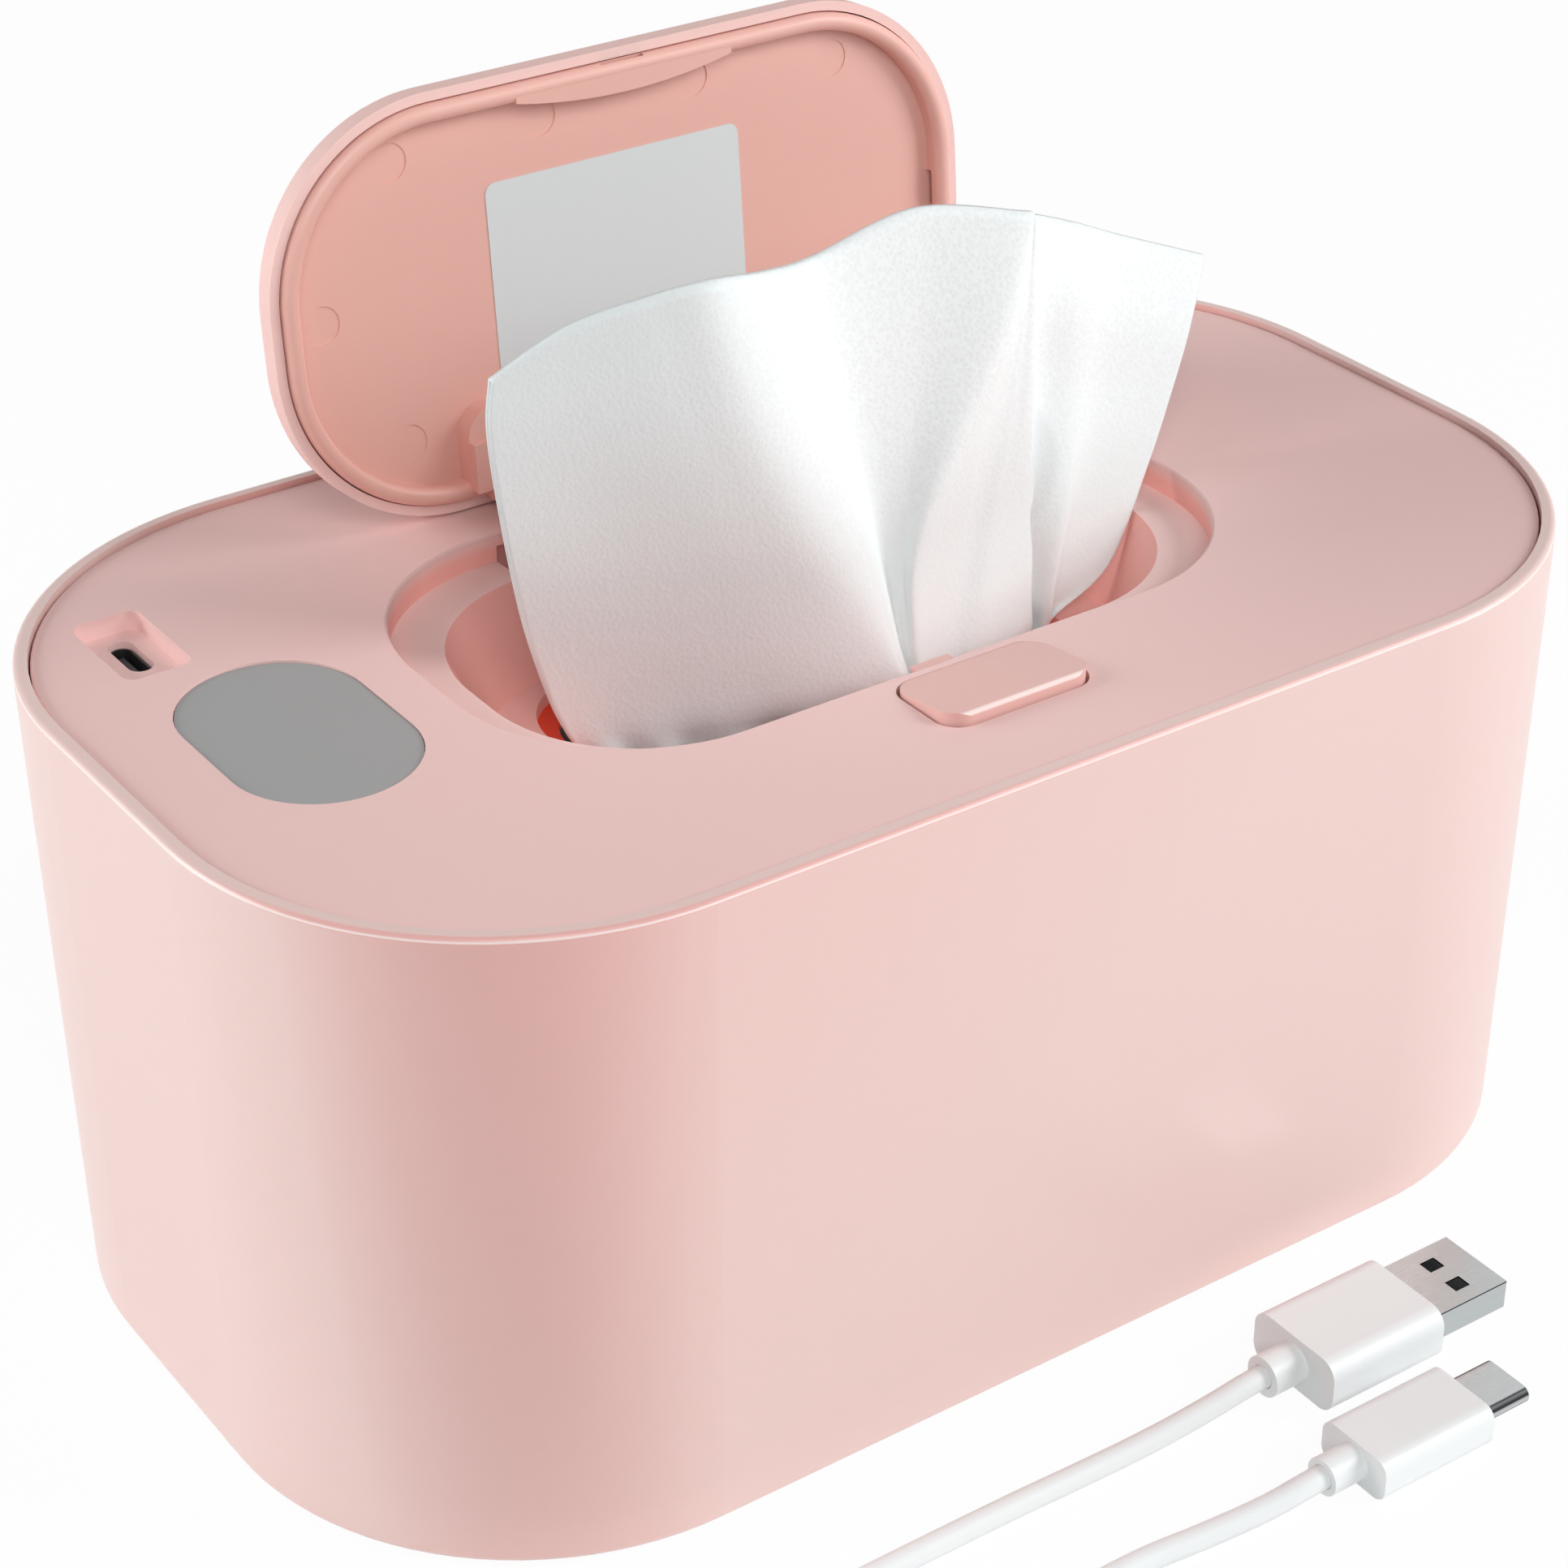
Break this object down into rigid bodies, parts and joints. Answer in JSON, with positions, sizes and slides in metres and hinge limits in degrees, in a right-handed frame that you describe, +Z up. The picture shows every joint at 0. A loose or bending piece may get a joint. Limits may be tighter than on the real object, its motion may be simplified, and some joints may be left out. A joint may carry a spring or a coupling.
{
  "type": "baby wipe warmer",
  "caption": "Rounded wipe warmer box with a lift-off heated cover, a latched gooseneck lid over its throat, a display window, a charging port and a loose cable.",
  "frame": {"origin": "middle of the box's footprint, on the surface that it stands on", "axes": "+X along the long side, away from the display; +Y towards the lid's hinge; +Z up"},
  "size_m": [0.2304, 0.2023, 0.1557],
  "materials": {
    "pink_plastic": "satin moulded",
    "inner_plastic": "satin moulded",
    "white_plastic": "satin moulded",
    "window": "smoked, gloss",
    "black_plastic": "matt",
    "board": "solder-masked laminate",
    "nickel": "nickel plated",
    "steel": "zinc plated",
    "aluminium": "mill",
    "silicone_red": "matt",
    "silicone_white": "matt",
    "rubber_grey": "matt",
    "cord_jacket": "satin",
    "wipe_cloth": "moist non-woven"
  },
  "bodies": {
    "housing": {"outer_shell": "pink_plastic", "rubber_feet": "rubber_grey", "inner_tub": "inner_plastic", "wipe_stack": "wipe_cloth", "usb_a_shell": "nickel", "usb_a_insert": "white_plastic", "usb_a_grip": "white_plastic", "usb_c_shell": "nickel", "usb_c_insert": "black_plastic", "usb_c_grip": "white_plastic", "cord_a_run": "cord_jacket", "cord_c_run": "cord_jacket", "cord_coil": "cord_jacket", "cord_tie": "white_plastic"},
    "cover": {"top_deck": "pink_plastic", "cover_underplate": "inner_plastic", "cover_seal": "silicone_white", "cover_screws": "steel", "heating_mat": "silicone_red", "heat_spreader": "aluminium", "temperature_sensor": "black_plastic", "thermal_fuse": "steel", "heater_leads": "silicone_white", "display_window": "window", "display_module": "black_plastic", "control_board": "board", "port_board": "board", "usb_socket": "nickel", "board_screws": "steel", "button_spring": "steel", "latch_spring": "steel", "hinge_pin": "steel", "lid_springs": "steel", "pulled_wipe": "wipe_cloth"},
    "lid": {"lid_shell": "pink_plastic", "lid_panel": "pink_plastic"},
    "button": {"push_button": "pink_plastic"},
    "latch": {"latch_slider": "pink_plastic"}
  },
  "joints": [
    {"name": "cover_lift", "type": "slide", "parent": "housing", "child": "cover", "axis": [0, 0, 1], "range_m": [0, 0.1]},
    {"name": "lid_hinge", "type": "hinge", "parent": "cover", "child": "lid", "pos_m": [0, 0.0366, 0.0897], "axis": [1, 0, 0], "range_deg": [0, 94.5], "stiffness_Nm_per_rad": 0.006, "springref_deg": -34.38, "deforming": ["pulled_wipe", "lid_springs"]},
    {"name": "button_press", "type": "slide", "parent": "cover", "child": "button", "axis": [0, 0, -1], "range_m": [0, 0.0015], "stiffness_N_per_m": 400, "springref_m": -0.002, "deforming": ["button_spring"]},
    {"name": "latch_slide", "type": "slide", "parent": "cover", "child": "latch", "axis": [0, -1, 0], "range_m": [0, 0.0015], "stiffness_N_per_m": 100, "springref_m": -0.002, "deforming": ["latch_spring"]}
  ],
  "couplings": [
    {"joint": "latch_slide", "follows": "button_press", "ratio": 1}
  ]
}
